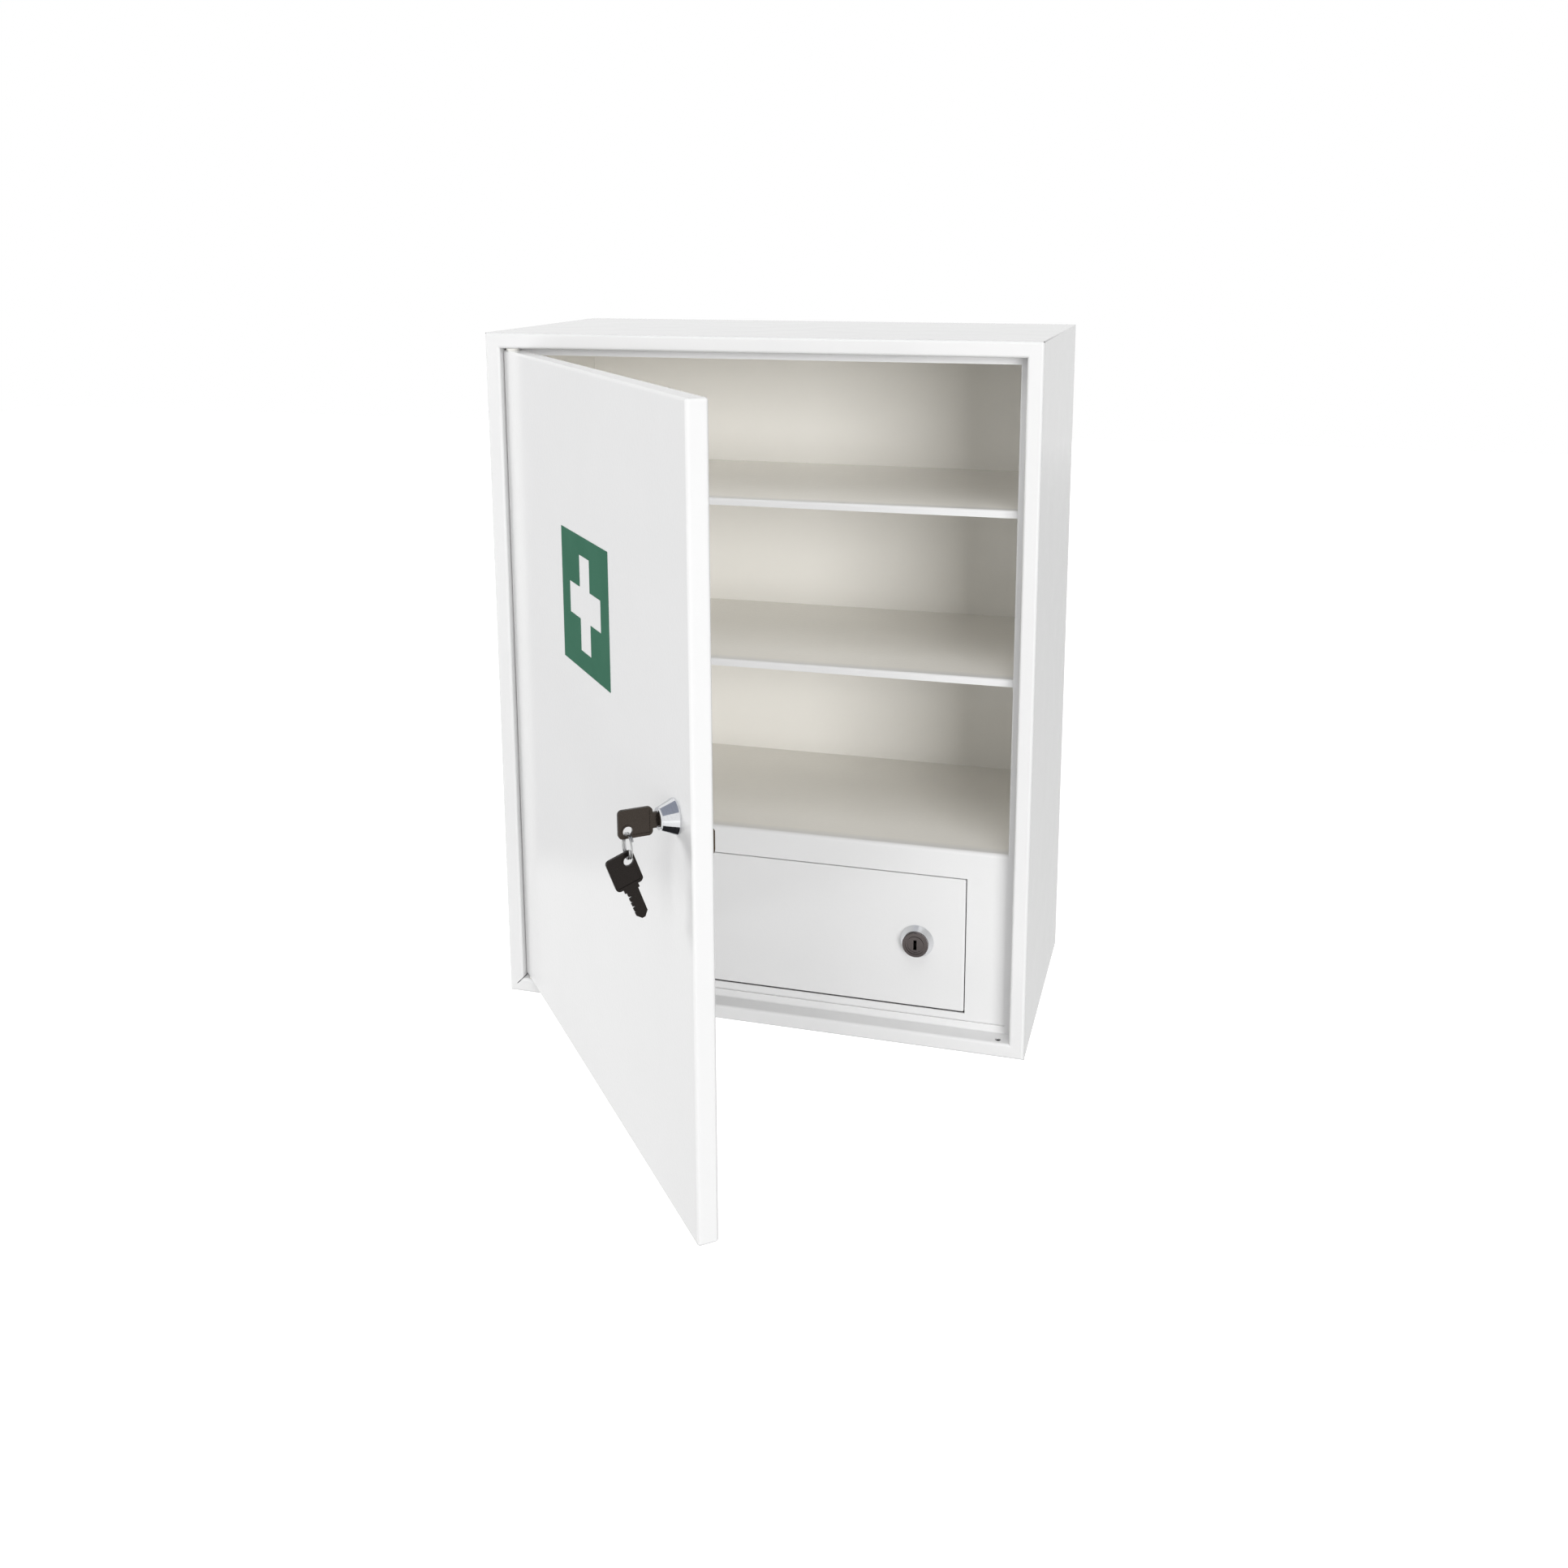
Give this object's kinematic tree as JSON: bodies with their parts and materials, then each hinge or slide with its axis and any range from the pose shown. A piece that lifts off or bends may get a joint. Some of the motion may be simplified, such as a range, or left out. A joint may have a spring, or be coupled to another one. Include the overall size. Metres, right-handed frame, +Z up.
{
  "type": "medicine cabinet",
  "caption": "White sheet-steel medicine cabinet with a keyed tray door, fixed shelves, a locked compartment below and a green first-aid sign.",
  "frame": {"origin": "centre of the four wall holes, on the outer face of the back", "axes": "+X right seen from the front, +Y into the wall, +Z up"},
  "size_m": [0.4, 0.4872, 0.51],
  "materials": {
    "white_paint": "gloss white powder coat",
    "zinc": "zinc-plated steel",
    "nylon": "natural nylon",
    "green_film": "green self-adhesive film",
    "chrome": "bright chrome plate",
    "gunmetal": "dark nickel lock face",
    "dark_nickel": "black nickel key"
  },
  "bodies": {
    "cabinet": {"left_side": "white_paint", "right_side": "white_paint", "top_panel": "white_paint", "bottom_panel": "white_paint", "back_panel": "white_paint", "upper_shelf": "white_paint", "lower_shelf": "white_paint", "compartment_cover": "white_paint", "compartment_strike": "zinc", "compartment_upper_bracket": "zinc", "compartment_lower_bracket": "zinc", "compartment_upper_pin": "zinc", "compartment_lower_pin": "zinc", "upper_hinge_pin": "zinc", "lower_hinge_pin": "zinc", "lower_hinge_washer": "nylon"},
    "main_door": {"main_door": "white_paint", "first_aid_sign": "green_film", "upper_hinge_washer": "nylon", "main_lock_rosette": "chrome", "main_lock_housing": "chrome", "main_lock_nut": "zinc"},
    "main_lock": {"main_lock_plug": "chrome", "main_lock_cam": "zinc", "main_lock_screw": "zinc"},
    "key": {"key": "dark_nickel"},
    "key_ring": {"key_ring": "chrome"},
    "spare_key": {"spare_key": "dark_nickel"},
    "compartment_door": {"compartment_door": "white_paint", "compartment_lock_rosette": "chrome", "compartment_lock_housing": "gunmetal", "compartment_lock_nut": "zinc"},
    "compartment_lock": {"compartment_lock_plug": "gunmetal", "compartment_lock_cam": "zinc", "compartment_lock_screw": "zinc"}
  },
  "joints": [
    {"name": "main_door_hinge", "type": "hinge", "parent": "cabinet", "child": "main_door", "pos_m": [-0.1807, -0.1945, 0], "axis": [0, 0, -1], "range_deg": [-50, 60]},
    {"name": "main_lock_turn", "type": "hinge", "parent": "main_door", "child": "main_lock", "pos_m": [0.03511, -0.46025, 0.0085], "axis": [-0.766, -0.6428, 0], "range_deg": [0, 90]},
    {"name": "key_withdraw", "type": "slide", "parent": "main_lock", "child": "key", "axis": [-0.766, -0.6428, 0], "range_m": [0, 0.026]},
    {"name": "key_ring_swing", "type": "hinge", "parent": "key", "child": "key_ring", "pos_m": [0.01366, -0.47825, 0.00275], "axis": [-0.6428, 0.766, 0], "range_deg": [-10, 25]},
    {"name": "spare_key_swing", "type": "hinge", "parent": "key_ring", "child": "spare_key", "pos_m": [0.01366, -0.47825, -0.01125], "axis": [-0.6428, 0.766, 0], "range_deg": [-10, 35]},
    {"name": "compartment_door_hinge", "type": "hinge", "parent": "cabinet", "child": "compartment_door", "pos_m": [-0.145, -0.1778, 0], "axis": [0, 0, -1], "range_deg": [0, 50]},
    {"name": "compartment_lock_turn", "type": "hinge", "parent": "compartment_door", "child": "compartment_lock", "pos_m": [0.1184, -0.1833, -0.181], "axis": [0, -1, 0], "range_deg": [0, 90]}
  ]
}
